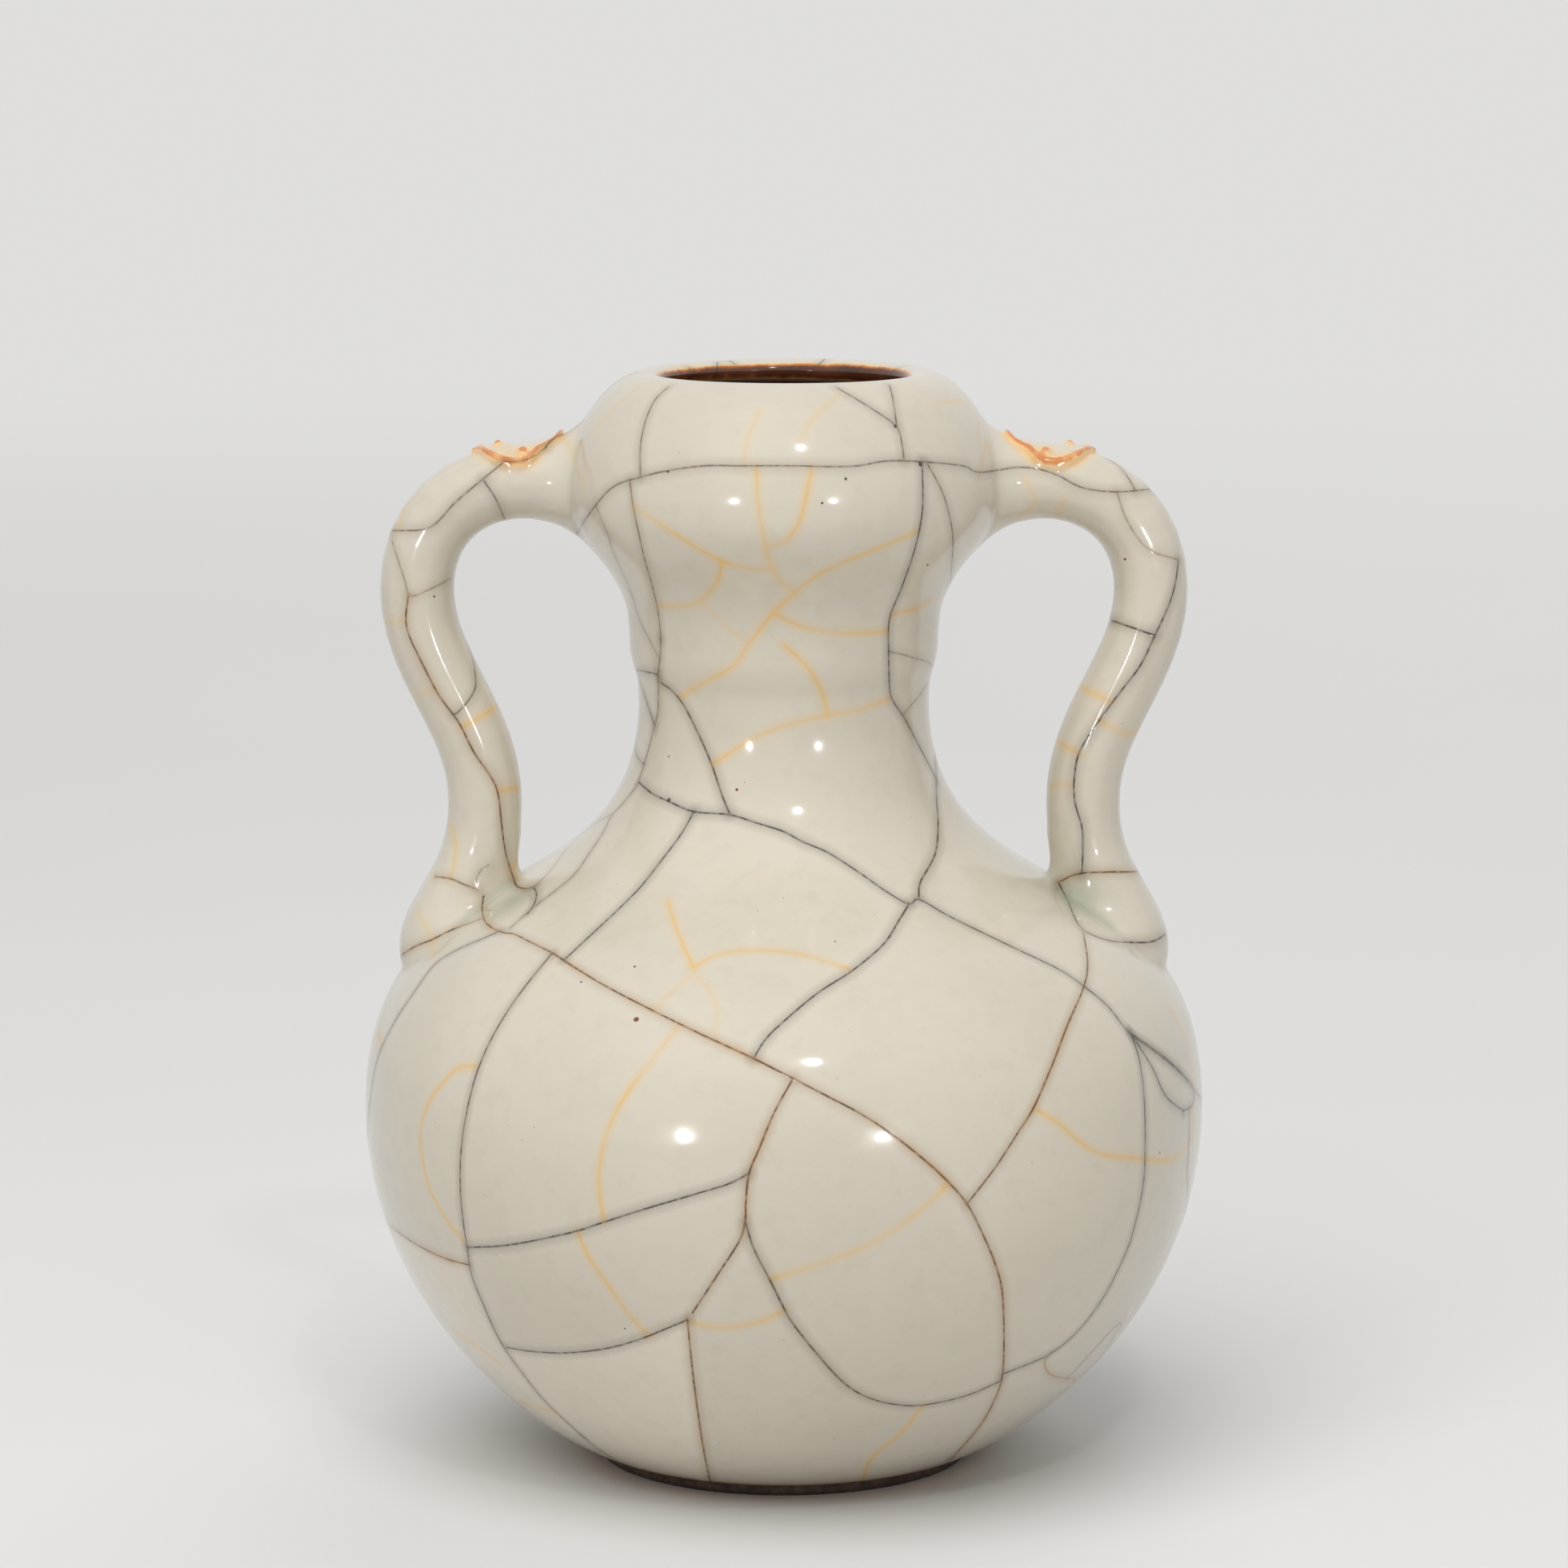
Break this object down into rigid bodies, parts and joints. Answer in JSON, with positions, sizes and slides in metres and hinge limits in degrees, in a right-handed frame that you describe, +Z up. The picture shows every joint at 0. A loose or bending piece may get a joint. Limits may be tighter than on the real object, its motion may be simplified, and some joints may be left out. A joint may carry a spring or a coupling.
{
  "type": "garlic-mouth vase",
  "caption": "Crackle-glazed garlic-mouth vase: round belly, waisted neck, swelling turned-in mouth, S-shaped handles with relief sprigs, low foot ring.",
  "frame": {"origin": "centre of the foot ring's underside, which is the bottom centre of the bounding box", "axes": "+Z up along the thrown axis, handles along X, front towards -Y"},
  "size_m": [0.169, 0.169, 0.22],
  "materials": {
    "ash_glaze": "glossy ash-white crackle glaze, iron-wire and gold-thread cracks, brown lustrous glaze inside",
    "rusty_glaze": "glossy glaze run thin over relief, rust orange at the edges",
    "iron_foot": "bare stoneware dressed dark iron brown, matt"
  },
  "bodies": {
    "root": {"foot_ring": "iron_foot", "lower_belly": "ash_glaze", "upper_belly": "ash_glaze", "neck": "ash_glaze", "garlic_mouth": "ash_glaze", "left_handle": "ash_glaze", "right_handle": "ash_glaze", "left_ruyi_sprig": "rusty_glaze", "right_ruyi_sprig": "rusty_glaze"}
  },
  "joints": []
}
